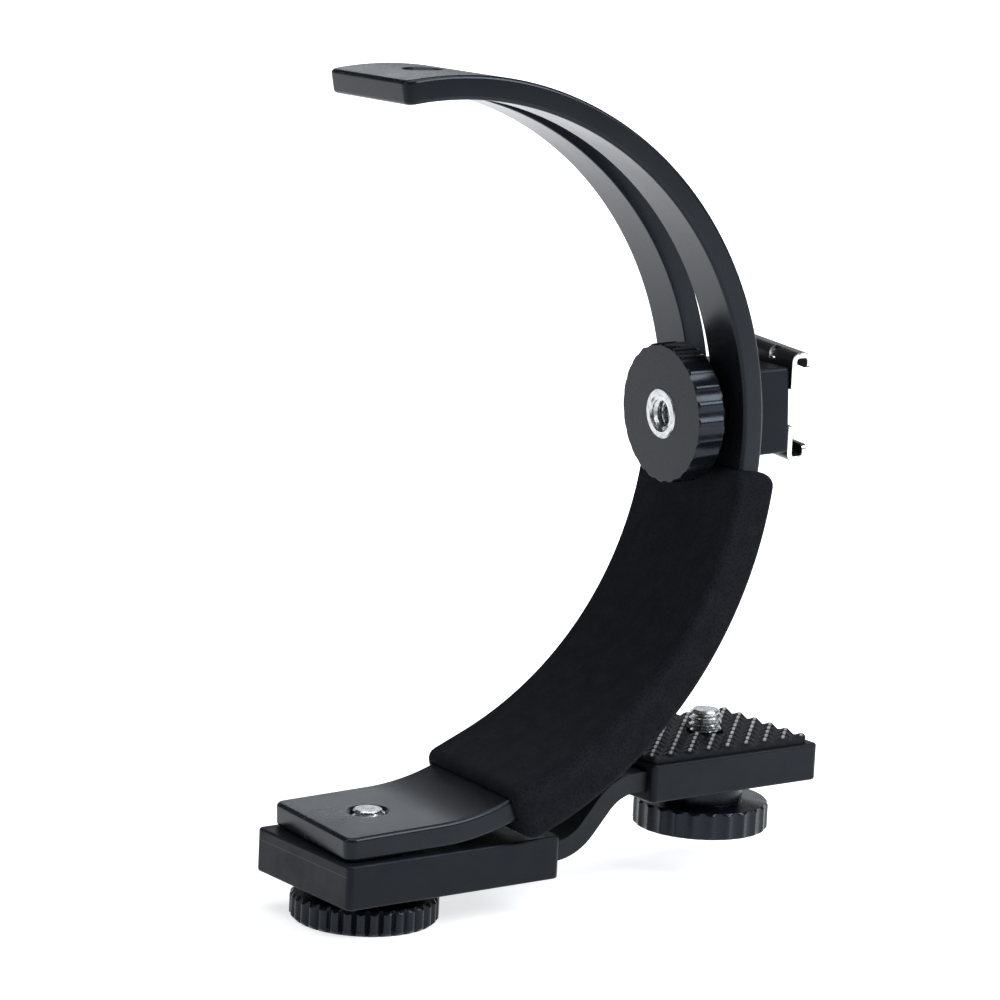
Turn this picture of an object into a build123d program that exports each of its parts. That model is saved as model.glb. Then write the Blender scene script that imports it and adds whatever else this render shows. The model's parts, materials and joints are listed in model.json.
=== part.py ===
from build123d import *
from math import ceil, cos, degrees, radians, sin, tan
import os

os.makedirs("parts", exist_ok=True)

# Flash bracket. Lengths in millimetres, angles in degrees, +Z up.
# The origin is on the swivel axis, on the face that meets a tripod head.
# The arm lies in the XZ plane and its C opens towards -X.

# Fits and cuts
overrun = 2.0
running_gap = 0.06
bore_gap = 0.08
clear_gap = 0.3
seat_gap = 0.02
slide_gap = 0.2
pocket_gap = 0.1
key_gap = 0.15

# Quarter inch camera thread and the hex of its bolts
thread_diameter = 6.35
thread_chamfer = 0.7
hole_chamfer = 0.6
hex_across = 11.1
hex_height = 4.2

# Clamp knob, its stud and its washer
clamp_knob_radius = 13.75
clamp_rim_height = 4.8
clamp_hub_radius = 9.5
clamp_hub_height = 0.9
clamp_tooth_count = 40
clamp_tooth_radius = 0.82
clamp_tooth_depth = 1.1
clamp_edge = 0.45
clamp_washer_radius = 11.2
clamp_washer_thickness = 1.0
stud_reach = 0.4
socket_depth = 5.0

# Seat block, the plastic sleeve on the low end of the bar
seat_left = 14.1
seat_right = 33.1
seat_width = 30.4
seat_height = 8.2
seat_floor = 2.3
seat_corner = 1.2
seat_edge = 0.5
pivot_washer_radius = 6.5
pivot_washer_thickness = 0.9
pivot_recess_depth = 0.6

# Base bar with its S-bend
strip_width = 24.0
strip_thickness = 3.8
strip_rise = 11.0
strip_bend_radius = 10.2
strip_slope = 48
strip_run_in = 0.9
strip_run_out = 2.3
strip_end_wall = 3.0
strip_corner = 2.0

# Camera platform, the plastic sleeve on the high end of the bar
platform_length = 41.1
platform_width = 28.0
platform_floor = 2.0
platform_height = 7.3
platform_corner = 1.2
platform_edge = 0.5
camera_screw_setback = 17.3

# Rubber pad with its diamond ribs
pad_side_inset = 1.0
pad_left_inset = 0.8
pad_right_inset = 2.2
pad_base = 0.9
pad_rib = 0.9
pad_pitch = 3.3
pad_land = 0.35
pad_corner = 0.8
pad_hole_gap = 0.5

# Camera screw, its retaining ring, washer and knob
screw_stick_out = 5.6
ring_groove_radius = 2.5
ring_radius = 4.9
ring_thickness = 0.8
ring_mouth = 3.6
ring_recess_gap = 0.2
knob_radius = 13.2
knob_flute_count = 24
knob_flute_radius = 3.2
knob_flute_depth = 0.45
knob_edge = 0.5
knob_back_edge = 0.8
knob_dish_radius = 8.6
knob_dish_depth = 0.6
camera_hub_radius = 8.0
camera_hub_height = 4.0
camera_rim_height = 5.2
camera_washer_radius = 7.4
camera_washer_thickness = 0.8

# Curved arm
arm_width = 28.8
arm_thickness = 4.4
arc_radius = 64.45
heel_radius = 69.4
heel_slope = 25
heel_straight = 6.95
foot_bend_radius = 45.0
foot_tilt = 3
foot_flat = 7.5
foot_end = 12.0
crown_end_angle = 101.2
crown_hole_offset = 1.5
arm_corner = 2.0
arm_edge = 0.6
slot_width = 7.3
slot_high_angle = 76.5

# Foam grip on the lower arc
foam_gap = 0.1
foam_side = 2.4
foam_palm = 1.65
foam_back = 2.4
foam_middle = 2.8
foam_heel = 4.3
foam_top_angle = -5.2
foam_run_on = 2.0
foam_edge = 1.6
foam_end_edge = 1.2

# Shoe carriage, measured along its screw from the arc's centre
shoe_rest_angle = 3.1
shoe_block_depth = 9.35
shoe_block_height = 16.3
shoe_length = 19.0
shoe_block_edge = 0.7
key_length = 12.0
key_reach = 3.4
slot_end_gap = 0.3
sheet = 1.0
channel_width = 19.0
channel_depth = 2.4
lip_width = 2.1
sheet_bend = 0.6
lip_corner = 1.0
shoe_roll = 4
shoe_lift = 1.0
notch_width = 7.2
notch_depth = 3.0
notch_corner = 0.8
relief_length = 2.0
relief_offset = 2.7
relief_height = 0.6
shoe_head_radius = 5.6
shoe_head_height = 2.4
drive_width = 1.2
drive_depth = 1.0
shoe_screw_setback = 4.0
saddle_radius = 8.5
saddle_thickness = 1.25
shoe_hub_radius = 8.0
shoe_hub_height = 1.8
shoe_rim_height = 5.8
insert_radius = 4.8
insert_proud = 0.2

# Turn of the base under the arm at rest
base_turn = 5.4

# Heights from the tripod face upwards
clamp_hub_top = clamp_rim_height + clamp_hub_height
seat_bottom = clamp_hub_top + clamp_washer_thickness
seat_top = seat_bottom + seat_height
pivot_washer_top = seat_top - pivot_recess_depth + pivot_washer_thickness
foot_lean = radians(foot_tilt)
foot_bottom = pivot_washer_top + pivot_washer_radius * tan(foot_lean) + seat_gap
foot_middle = foot_bottom + arm_thickness / 2 / cos(foot_lean)
foot_top = foot_bottom + arm_thickness / cos(foot_lean)
strip_low = seat_bottom + seat_floor + strip_thickness / 2
strip_high = strip_low + strip_rise
platform_bottom = strip_high - strip_thickness / 2 - platform_floor
platform_top = platform_bottom + platform_height
pad_top = platform_top + pad_base + pad_rib
screw_top = platform_top + screw_stick_out
camera_hub_top = platform_bottom - camera_washer_thickness
camera_knob_bottom = camera_hub_top - camera_hub_height - camera_rim_height

# Plan of the base
slope = radians(strip_slope)
strip_ramp = (strip_rise - 2 * strip_bend_radius * (1 - cos(slope))) / sin(slope)
bend_reach = 2 * strip_bend_radius * sin(slope) + strip_ramp * cos(slope)
bend_start = seat_right + strip_run_in
platform_start = bend_start + bend_reach + strip_run_out
platform_end = platform_start + platform_length
camera_x = platform_end - camera_screw_setback
strip_start = strip_end_wall - seat_left
strip_end = platform_end - strip_end_wall

# Centres of the arm's arcs in the XZ plane
tilt = radians(heel_slope)
foot_x = foot_flat * cos(foot_lean) - foot_bend_radius * sin(foot_lean)
foot_z = foot_middle + foot_flat * sin(foot_lean) + foot_bend_radius * cos(foot_lean)
heel_growth = heel_radius - foot_bend_radius
heel_x = foot_x + heel_straight * cos(tilt) - heel_growth * sin(tilt)
arc_z = foot_z + heel_straight * sin(tilt) + heel_growth * cos(tilt)
arc_x = heel_x + heel_radius - arc_radius
foot_center = (foot_x, foot_z)
arc_center = (arc_x, arc_z)
heel_center = (heel_x, arc_z)
crown_hole_x = arc_x - crown_hole_offset

# Stations of the shoe carriage along its screw, from the arc's centre
half_arm = arm_thickness / 2
arm_inside = arc_radius - half_arm
arm_outside = arc_radius + half_arm
saddle_outside = arm_inside - slide_gap
hub_end = saddle_outside - saddle_thickness
knob_back = hub_end - shoe_hub_height
knob_face = knob_back - shoe_rim_height
block_saddle = arm_outside + slide_gap
web_inside = arm_outside + shoe_block_depth
web_outside = web_inside + sheet
lip_outside = web_outside + channel_depth + sheet
shoe_screw_end = knob_face + shoe_screw_setback

# Radii of the threads and of their holes
thread_radius = thread_diameter / 2
tapped_radius = thread_radius + running_gap
clear_radius = thread_radius + clear_gap

# Ends of the arc slot and the travel of the shoe along it
key_radius = slot_width / 2 - key_gap
key_angle = degrees((key_length / 2 - key_radius) / arc_radius)
slot_end_angle = degrees(slot_end_gap / arc_radius)
slot_low_angle = shoe_rest_angle - key_angle - slot_end_angle
shoe_travel = slot_high_angle - slot_end_angle - key_angle - shoe_rest_angle

base_place = Location((0, 0, 0), (0, 0, base_turn))
camera_place = base_place * Location((camera_x, 0, 0))
shoe_place = Location((arc_x, 0, arc_z), (0, 90 - shoe_rest_angle, 0))


def drum(radius, bottom, top):
    """Upright cylinder between two heights."""
    return Pos(0, 0, bottom) * extrude(Circle(radius), top - bottom)


def chamfered_drum(radius, bottom, top, low_edge, high_edge):
    """Upright cylinder with a chamfer at each end, where zero means none."""
    shape = drum(radius, bottom, top)
    ends = shape.edges().filter_by(GeomType.CIRCLE).sort_by(Axis.Z)
    if low_edge:
        shape = chamfer(ends[0], low_edge)
        ends = shape.edges().filter_by(GeomType.CIRCLE).sort_by(Axis.Z)
    if high_edge:
        shape = chamfer(ends[-1], high_edge)
    return shape


def hex_bar(gap, bottom, top):
    """Upright hexagon bar, a gap larger all round than the bolt's hex."""
    outline = RegularPolygon(hex_across / 2 + gap, 6, major_radius=False)
    return Pos(0, 0, bottom) * extrude(outline, top - bottom)


def slab(left, right, width, bottom, top):
    """Box centred on the XZ plane."""
    middle = (left + right) / 2
    outline = Pos(middle, 0) * Rectangle(right - left, width)
    return Pos(0, 0, bottom) * extrude(outline, top - bottom)


def round_slab(left, right, width, bottom, top, corner, edge):
    """Slab with rounded upright corners and softened top and bottom edges."""
    block = slab(left, right, width, bottom, top)
    block = fillet(block.edges().filter_by(Axis.Z), corner)
    faces = block.faces().sort_by(Axis.Z)
    return fillet(faces[0].edges() + faces[-1].edges(), edge)


def mouth(face_z, width=hole_chamfer):
    """Cone that opens a tapped hole at its upper face."""
    cone = Cone(
        tapped_radius, tapped_radius + width, width, align=(Align.CENTER, Align.CENTER, Align.MAX)
    )
    return Pos(0, 0, face_z) * cone


def low_mouth(face_z, width=hole_chamfer):
    """Cone that opens a tapped hole at its lower face."""
    return Pos(0, 0, face_z) * mirror(mouth(0, width), Plane.XY)


def upright(outline, half_width):
    """Solid of an outline drawn in the XZ plane, as wide on both sides of it."""
    return extrude(Plane.XZ * outline, half_width, both=True)


def arc_point(center, radius, angle):
    """Point on a circle in the XZ plane."""
    return (center[0] + radius * cos(radians(angle)), center[1] + radius * sin(radians(angle)))


def band(edges_inner, edges_outer):
    """Face between two open chains of edges that run the same way."""
    start = Line(edges_inner[0] @ 0, edges_outer[0] @ 0)
    end = Line(edges_inner[-1] @ 1, edges_outer[-1] @ 1)
    return make_face(edges_inner + edges_outer + [start, end])


def arm_chain(offset):
    """The arm's path from its crown end to its foot end, offset outwards."""
    crown_end = arc_point(arc_center, arc_radius + offset, crown_end_angle)
    crown_mid = arc_point(arc_center, arc_radius + offset, crown_end_angle / 2)
    joint = arc_point(arc_center, arc_radius + offset, 0)
    heel_mid = arc_point(heel_center, heel_radius + offset, (heel_slope - 90) / 2)
    heel_end = arc_point(heel_center, heel_radius + offset, heel_slope - 90)
    bend = foot_bend_radius + offset
    bend_start_point = arc_point(foot_center, bend, heel_slope - 90)
    bend_mid = arc_point(foot_center, bend, (heel_slope + foot_tilt) / 2 - 90)
    bend_end = arc_point(foot_center, bend, foot_tilt - 90)
    foot_run = foot_end + foot_flat
    tip = (bend_end[0] - foot_run * cos(foot_lean), bend_end[1] - foot_run * sin(foot_lean))
    return [
        ThreePointArc(crown_end, crown_mid, joint),
        ThreePointArc(joint, heel_mid, heel_end),
        Line(heel_end, bend_start_point),
        ThreePointArc(bend_start_point, bend_mid, bend_end),
        Line(bend_end, tip),
    ]


def arc_slot():
    """Cutter of the long slot with its round ends."""
    inner = arm_inside - overrun
    outer = arm_outside + overrun
    middle = (slot_low_angle + slot_high_angle) / 2
    arcs = []
    for radius in (inner, outer):
        points = [
            arc_point(arc_center, radius, angle)
            for angle in (slot_low_angle, middle, slot_high_angle)
        ]
        arcs.append(ThreePointArc(*points))
    cutter = upright(band([arcs[0]], [arcs[1]]), slot_width / 2)
    for angle in (slot_low_angle, slot_high_angle):
        place = Location((arc_x, 0, arc_z), (0, 90 - angle, 0))
        cutter += place * drum(slot_width / 2, inner, outer)
    return cutter


def make_c_arm():
    """Curved arm with round corners, the arc slot, the crown hole and the foot hole."""
    arm = upright(band(arm_chain(-half_arm), arm_chain(half_arm)), arm_width / 2)
    corner_edges = []
    for x_end in (-foot_end, arc_point(arc_center, arc_radius, crown_end_angle)[0]):
        for edge in arm.edges():
            short = edge.length < arm_thickness + seat_gap
            near = abs(edge.center().X - x_end) < half_arm
            if short and near:
                corner_edges.append(edge)
    arm = fillet(corner_edges, arm_corner)
    rims = [edge for face in arm.faces().filter_by(Axis.Y) for edge in face.edges()]
    arm = fillet(rims, arm_edge)
    arm -= arc_slot()
    arm -= drum(tapped_radius, foot_bottom - overrun, foot_top + overrun)
    arm -= mouth(foot_top) + drum(tapped_radius + hole_chamfer, foot_top, foot_top + overrun)
    crown_top = arc_z + arm_outside
    hole = drum(tapped_radius, arc_z, crown_top + overrun) + mouth(crown_top)
    return arm - Pos(crown_hole_x, 0, 0) * hole


def foam_angle(share):
    """Angle on the heel arc, from the grip's top at 0 to the arc's end at 1."""
    return foam_top_angle + share * (heel_slope - 90 - foam_top_angle)


def heel_arc(offsets):
    """Arc along the heel through its three offsets from the arm's middle line."""
    points = [
        arc_point(heel_center, heel_radius + offset, foam_angle(index / 2))
        for index, offset in enumerate(offsets)
    ]
    return ThreePointArc(*points)


def heel_chain(top, middle, low):
    """Heel arc and the straight below it, as long as the grip runs."""
    arc = heel_arc((top, middle, low))
    run = heel_straight + foam_run_on
    return [arc, Line(arc @ 1, arc @ 1 - Vector(run * cos(tilt), run * sin(tilt)))]


def make_foam_grip():
    """Foam sleeve, thicker towards its lower end, open at both ends for the arm."""
    hollow = half_arm + foam_gap
    palm = hollow + foam_palm
    inner = heel_chain(-palm, -palm, -palm)
    outer = heel_chain(hollow + foam_back, hollow + foam_middle, hollow + foam_heel)
    grip = upright(band(inner, outer), arm_width / 2 + foam_gap + foam_side)
    long_edges = []
    for face in grip.faces().filter_by(Axis.Y):
        edges = face.edges().sort_by(SortBy.LENGTH, reverse=True)
        long_edges += edges[:4]
    grip = fillet(long_edges, foam_edge)
    passage = upright(
        band(arm_chain(-hollow)[1:], arm_chain(hollow)[1:]), arm_width / 2 + foam_gap
    )
    grip -= passage
    for end in grip.faces().filter_by(GeomType.PLANE):
        if len(end.inner_wires()) == 1:
            grip = fillet(end.outer_wire().edges(), foam_end_edge)
    return grip


def make_pivot_washer():
    """Friction washer that carries the arm's foot."""
    bottom = seat_top - pivot_recess_depth
    washer = drum(pivot_washer_radius, bottom, pivot_washer_top)
    return washer - drum(clear_radius, bottom - overrun, pivot_washer_top + overrun)


def make_base_strip():
    """Flat bar with an S-bend and a hole near each end."""
    low = strip_low
    high = strip_high
    radius = strip_bend_radius
    first = (bend_start, low + radius)
    second = (bend_start + bend_reach, high - radius)
    chains = []
    for offset in (-strip_thickness / 2, strip_thickness / 2):
        rise = radius - offset
        fall = radius + offset
        a = (strip_start, low + offset)
        b = (bend_start, low + offset)
        b_mid = arc_point(first, rise, strip_slope / 2 - 90)
        c = arc_point(first, rise, strip_slope - 90)
        d = arc_point(second, fall, strip_slope + 90)
        d_mid = arc_point(second, fall, strip_slope / 2 + 90)
        e = (bend_start + bend_reach, high + offset)
        f = (strip_end, high + offset)
        chains.append(
            [Line(a, b), ThreePointArc(b, b_mid, c), Line(c, d), ThreePointArc(d, d_mid, e), Line(e, f)]
        )
    strip = upright(band(*chains), strip_width / 2)
    corners = [
        edge
        for edge in strip.edges().filter_by(Axis.Z)
        if abs(edge.center().X - strip_start) < strip_corner
        or abs(edge.center().X - strip_end) < strip_corner
    ]
    strip = fillet(corners, strip_corner)
    strip -= drum(clear_radius, strip_low - strip_thickness, strip_low + strip_thickness)
    strip -= Pos(camera_x, 0, 0) * drum(
        clear_radius, strip_high - strip_thickness, strip_high + strip_thickness
    )
    return base_place * strip


def strip_pocket(left, right, level):
    """Space for the bar inside a plastic sleeve."""
    half = strip_thickness / 2 + pocket_gap
    return slab(left, right, strip_width + 2 * pocket_gap, level - half, level + half)


def make_seat_block():
    """Plastic sleeve under the arm's foot, open at the right for the bar."""
    block = round_slab(
        -seat_left, seat_right, seat_width, seat_bottom, seat_top, seat_corner, seat_edge
    )
    block -= strip_pocket(strip_start - pocket_gap, seat_right + overrun, strip_low)
    block -= drum(clear_radius, seat_bottom - overrun, seat_top + overrun)
    block -= drum(
        pivot_washer_radius + pocket_gap, seat_top - pivot_recess_depth, seat_top + overrun
    )
    return base_place * block


def make_camera_platform():
    """Plastic sleeve under the camera, open at the left, with the ring's recess on top."""
    block = round_slab(
        platform_start, platform_end, platform_width,
        platform_bottom, platform_top, platform_corner, platform_edge,
    )
    block -= strip_pocket(platform_start - overrun, strip_end + pocket_gap, strip_high)
    hole = drum(clear_radius, platform_bottom - overrun, platform_top + overrun)
    hole += drum(ring_radius + ring_recess_gap, ring_seat(), platform_top + overrun)
    return base_place * (block - Pos(camera_x, 0, 0) * hole)


def ring_seat():
    """Height of the retaining ring's underside."""
    return platform_top - ring_thickness - pocket_gap


def make_platform_pad():
    """Rubber pad with pointed diamond ribs and a hole for the camera screw."""
    left = platform_start + pad_left_inset
    right = platform_end - pad_right_inset
    width = platform_width - 2 * pad_side_inset
    pad = slab(left, right, width, platform_top, pad_top)
    pad = fillet(pad.edges().filter_by(Axis.Z), pad_corner)
    half_mouth = (pad_pitch - pad_land) / 2
    groove_outline = Polygon(
        (-half_mouth, 0), (half_mouth, 0), (0, -pad_rib), align=None
    )
    reach = (right - left) + width
    groove = Pos(0, 0, pad_top) * upright(groove_outline, reach / 2)
    middle = Pos((left + right) / 2, 0, 0)
    count = ceil(((right - left) + width) / (2 * pad_pitch))
    for turn in (45, -45):
        row = [Pos(index * pad_pitch, 0, 0) * groove for index in range(-count, count + 1)]
        pad -= [middle * Rot(0, 0, turn) * cutter for cutter in row]
    hole = drum(thread_radius + pad_hole_gap, platform_top - overrun, pad_top + overrun)
    return base_place * (pad - Pos(camera_x, 0, 0) * hole)


def make_clamp_washer():
    """Collar between the clamp knob and the seat block."""
    washer = drum(clamp_washer_radius, clamp_hub_top, seat_bottom)
    return washer - drum(clear_radius, clamp_hub_top - overrun, seat_bottom + overrun)


def make_clamp_knob():
    """Round knob with rounded teeth, moulded round the stud's hex."""
    root = clamp_knob_radius - clamp_tooth_depth
    tooth_place = clamp_knob_radius - clamp_tooth_radius
    teeth = PolarLocations(tooth_place, clamp_tooth_count) * Circle(clamp_tooth_radius)
    rim = extrude(Circle(root) + teeth, clamp_rim_height)
    rim &= chamfered_drum(clamp_knob_radius, 0, clamp_rim_height, clamp_edge, clamp_edge)
    knob = rim + drum(clamp_hub_radius, 0, clamp_hub_top)
    knob -= hex_bar(seat_gap, -overrun, stud_hex_top() + seat_gap)
    return knob - drum(clear_radius, 0, clamp_hub_top + overrun)


def stud_hex_top():
    """Height of the stud's hex, which holds the tripod socket."""
    return clamp_rim_height + hole_chamfer


def make_clamp_stud():
    """Hex with a blind tapped socket below and a threaded stud above."""
    stud = hex_bar(0, 0, stud_hex_top())
    stud += chamfered_drum(thread_radius, 0, foot_top + stud_reach, 0, thread_chamfer)
    socket = drum(tapped_radius, -overrun, socket_depth)
    return stud - socket


def scalloped_knob(rim_height, hub_radius, hub_height):
    """Knob with its face at zero, shallow flutes round its rim and a hub on its back."""
    flute_place = knob_radius - knob_flute_depth + knob_flute_radius
    flutes = PolarLocations(flute_place, knob_flute_count) * Circle(knob_flute_radius)
    rim = extrude(Circle(knob_radius) - flutes, rim_height)
    rim &= chamfered_drum(knob_radius, 0, rim_height, knob_edge, knob_back_edge)
    return rim + drum(hub_radius, 0, rim_height + hub_height)


def make_camera_knob():
    """Knob under the platform, with the bolt's hex head sunk in its face."""
    top = camera_rim_height + camera_hub_height
    knob = scalloped_knob(camera_rim_height, camera_hub_radius, camera_hub_height)
    knob -= drum(knob_dish_radius, -overrun, knob_dish_depth)
    knob -= hex_bar(seat_gap, -overrun, knob_dish_depth + hex_height + seat_gap)
    knob -= drum(clear_radius, 0, top + overrun)
    return camera_place * Pos(0, 0, camera_knob_bottom) * knob


def make_camera_knob_washer():
    """Washer between the camera knob and the platform."""
    washer = drum(camera_washer_radius, camera_hub_top, platform_bottom)
    hole = drum(clear_radius, camera_hub_top - overrun, platform_bottom + overrun)
    return camera_place * (washer - hole)


def make_camera_screw():
    """Camera screw with a hex head below and a thin neck for the retaining ring."""
    head_bottom = camera_knob_bottom + knob_dish_depth
    screw = hex_bar(0, head_bottom, head_bottom + hex_height)
    screw += chamfered_drum(thread_radius, head_bottom, screw_top, 0, thread_chamfer)
    neck = drum(thread_radius + overrun, ring_seat() - seat_gap, pad_top)
    neck -= drum(ring_groove_radius, ring_seat() - overrun, pad_top + overrun)
    return camera_place * (screw - neck)


def make_camera_screw_clip():
    """Retaining ring in the screw's groove, with one open side."""
    bottom = ring_seat()
    top = bottom + ring_thickness
    ring = drum(ring_radius, bottom, top)
    ring -= drum(ring_groove_radius + seat_gap, bottom - overrun, top + overrun)
    gap = Pos(ring_radius / 2, 0, bottom - overrun) * extrude(
        Rectangle(ring_radius + overrun, ring_mouth), ring_thickness + 2 * overrun
    )
    return camera_place * (ring - gap)


def make_shoe_block():
    """Plastic carrier with a curved saddle and the key that rides in the slot."""
    half_height = shoe_block_height / 2
    block = slab(-half_height, half_height, shoe_length, arm_inside, web_inside)
    top = block.faces().sort_by(Axis.Z)[-1]
    block = fillet(block.edges().filter_by(Axis.Z) + top.edges(), shoe_block_edge)
    saddle = upright(Circle(block_saddle), shoe_length)
    block -= saddle
    key_outline = SlotOverall(key_length, 2 * key_radius)
    key_bottom = block_saddle - key_reach
    key = Pos(0, 0, key_bottom) * extrude(key_outline, key_reach + shoe_block_depth / 2)
    block += key
    return shoe_place * (block - shoe_screw_shape(bore_gap))


def shoe_screw_shape(gap):
    """Flat head screw that points at the arc's centre, grown by a gap for its hole."""
    head_bottom = web_outside - shoe_head_height
    shank = drum(thread_radius + gap, shoe_screw_end - gap, web_outside)
    flare = shoe_head_height - (shoe_head_radius - thread_radius)
    head = drum(shoe_head_radius + gap, web_outside - flare, web_outside + gap)
    cone = Pos(0, 0, head_bottom) * Cone(
        thread_radius + gap, shoe_head_radius + gap, shoe_head_height - flare,
        align=(Align.CENTER, Align.CENTER, Align.MIN),
    )
    return shank + head + cone


def make_shoe_screw():
    """Flat head screw with a slotted head."""
    screw = shoe_screw_shape(0)
    screw = chamfer(screw.edges().sort_by(Axis.Z)[0], thread_chamfer)
    slot = slab(
        -shoe_head_radius - overrun, shoe_head_radius + overrun, drive_width,
        web_outside - drive_depth, web_outside + overrun,
    )
    return shoe_place * (screw - slot)


def make_cold_shoe():
    """Folded sheet with two inward lips, notched at both ends of its web."""
    width = channel_width + 2 * sheet
    depth = channel_depth + 2 * sheet
    outside = RectangleRounded(width, depth, sheet_bend + sheet)
    inside = RectangleRounded(channel_width, channel_depth, sheet_bend)
    lip_gap = channel_width - 2 * lip_width
    gap = Pos(0, depth / 2) * Rectangle(lip_gap, 2 * sheet + channel_depth)
    profile = outside - inside - gap
    shoe = Pos(0, 0, web_inside + depth / 2) * upright(profile, shoe_length / 2)
    lip_edges = [
        edge
        for edge in shoe.edges().filter_by(Axis.Z)
        if edge.center().Z > web_outside and abs(edge.center().X) < lip_gap / 2 + sheet / 2
    ]
    shoe = fillet(lip_edges, lip_corner)
    notch_outline = RectangleRounded(notch_width, 2 * notch_depth, notch_corner)
    for side in (-1, 1):
        notch = Pos(0, side * shoe_length / 2, web_inside - overrun) * extrude(
            notch_outline, sheet + 2 * overrun
        )
        shoe -= notch
    relief_low = shoe_block_height / 2
    relief_high = channel_width / 2 + sheet
    relief = slab(
        -relief_high - overrun, -relief_low, relief_length,
        web_inside - overrun, web_outside + relief_height,
    )
    shoe -= Pos(0, -relief_offset, 0) * relief
    shoe = Rot(0, 0, shoe_roll) * Pos(-shoe_lift, 0, 0) * shoe
    return shoe_place * (shoe - shoe_screw_shape(bore_gap))


def make_shoe_saddle_washer():
    """Washer whose outer face follows the arm's inner curve."""
    washer = drum(saddle_radius, hub_end, block_saddle)
    washer &= upright(Circle(saddle_outside), saddle_radius + overrun)
    return shoe_place * (washer - drum(clear_radius, hub_end - overrun, block_saddle))


def make_shoe_knob():
    """Knob on the inside of the arc, with a hole for its threaded bush."""
    knob = scalloped_knob(shoe_rim_height, shoe_hub_radius, shoe_hub_height)
    knob -= drum(insert_radius + seat_gap, -overrun, hub_end - knob_face + overrun)
    return shoe_place * Pos(0, 0, knob_face) * knob


def make_shoe_knob_insert():
    """Threaded bush of the shoe knob."""
    bottom = knob_face - insert_proud
    bush = drum(insert_radius, bottom, hub_end)
    hole = drum(tapped_radius, bottom - overrun, hub_end + overrun) + low_mouth(bottom)
    return shoe_place * (bush - hole)


parts = {
    "c_arm": make_c_arm(),
    "foam_grip": make_foam_grip(),
    "pivot_washer": make_pivot_washer(),
    "seat_block": make_seat_block(),
    "base_strip": make_base_strip(),
    "clamp_washer": make_clamp_washer(),
    "clamp_knob": make_clamp_knob(),
    "clamp_stud": make_clamp_stud(),
    "camera_platform": make_camera_platform(),
    "platform_pad": make_platform_pad(),
    "camera_screw": make_camera_screw(),
    "camera_screw_clip": make_camera_screw_clip(),
    "camera_knob": make_camera_knob(),
    "camera_knob_washer": make_camera_knob_washer(),
    "shoe_block": make_shoe_block(),
    "cold_shoe": make_cold_shoe(),
    "shoe_screw": make_shoe_screw(),
    "shoe_saddle_washer": make_shoe_saddle_washer(),
    "shoe_knob": make_shoe_knob(),
    "shoe_knob_insert": make_shoe_knob_insert(),
}

for node, shape in parts.items():
    shape.label = node
    export_step(shape, f"parts/{node}.step")

print("arc centre", round(arc_x, 3), round(arc_z, 3))
print("camera screw at", round(camera_x, 3), "top", round(screw_top, 3))
print("shoe travel in degrees", round(shoe_travel, 3))
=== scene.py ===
"""Looks of a camera flash bracket, laid out as a Blender add-on and run as a script."""

import json
import math

import bmesh
import bpy
from mathutils import Matrix, Vector


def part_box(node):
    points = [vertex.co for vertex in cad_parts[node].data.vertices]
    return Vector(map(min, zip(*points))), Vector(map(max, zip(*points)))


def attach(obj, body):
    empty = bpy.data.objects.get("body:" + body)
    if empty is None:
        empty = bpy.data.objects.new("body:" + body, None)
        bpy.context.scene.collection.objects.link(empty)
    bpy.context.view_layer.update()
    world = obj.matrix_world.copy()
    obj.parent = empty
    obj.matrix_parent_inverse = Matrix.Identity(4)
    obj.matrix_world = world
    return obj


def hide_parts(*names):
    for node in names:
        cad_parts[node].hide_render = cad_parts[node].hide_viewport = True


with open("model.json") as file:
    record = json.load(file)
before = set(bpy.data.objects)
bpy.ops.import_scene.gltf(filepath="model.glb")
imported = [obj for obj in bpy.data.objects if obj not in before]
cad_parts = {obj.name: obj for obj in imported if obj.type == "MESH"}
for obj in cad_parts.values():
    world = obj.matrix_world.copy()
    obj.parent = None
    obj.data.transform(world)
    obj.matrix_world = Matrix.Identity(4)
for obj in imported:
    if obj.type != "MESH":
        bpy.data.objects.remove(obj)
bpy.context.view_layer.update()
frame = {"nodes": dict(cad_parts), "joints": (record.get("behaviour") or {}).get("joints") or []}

bl_info = {
    "name": "Flash bracket",
    "version": (1, 0, 0),
    "blender": (4, 5, 0),
    "location": "View3D > Sidebar > Bracket",
    "description": "Dresses the packed model of a camera flash bracket",
    "category": "Object",
}

# A millimetre, and the distance under which two points count as one, in metres
MM = 0.001
WELD = 1e-6

# Angles from which an edge stays sharp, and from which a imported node's edge is rounded
SHARP = math.radians(32)
ROUNDED = math.radians(40)

# Points round a screw, round one flute or tooth, and round half a hole
ROUND_STEPS = 96
RIM_STEPS = 12
HOLE_STEPS = 24

# Rings to one turn of a thread, in a hole and on a shaft
BORE_STEPS = 14
SHAFT_STEPS = 16

# Rings over the rounding of the foam's ends
MOUTH_STEPS = 5

# Shares of a thread's pitch that its crest and both its flanks take up
CREST = 0.14
FLANKS = 0.6

# Share of a hex's half width from which a turned ring belongs to the hex
HEX_FROM = 0.9


# Frame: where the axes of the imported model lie


def joint(name):
    """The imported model's joint of that name."""
    return next(entry for entry in frame["joints"] if entry["name"] == name)


ARC_CENTRE = Vector(joint("shoe_slide")["pos_m"])
SHOE_AXIS = Vector(joint("shoe_knob_turn")["axis"])
CAMERA_AXIS = Vector(joint("camera_knob_turn")["pos_m"])
BASE_TURN = Matrix.Rotation(math.atan2(CAMERA_AXIS.y, CAMERA_AXIS.x), 4, "Z")


def shoe_place():
    """Matrix that stands local +Z on the shoe screw, from the arc's centre outwards."""
    across = Vector((0, 1, 0))
    low = across.cross(SHOE_AXIS)
    turn = Matrix((low, across, SHOE_AXIS)).transposed().to_4x4()
    return Matrix.Translation(ARC_CENTRE) @ turn


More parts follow.
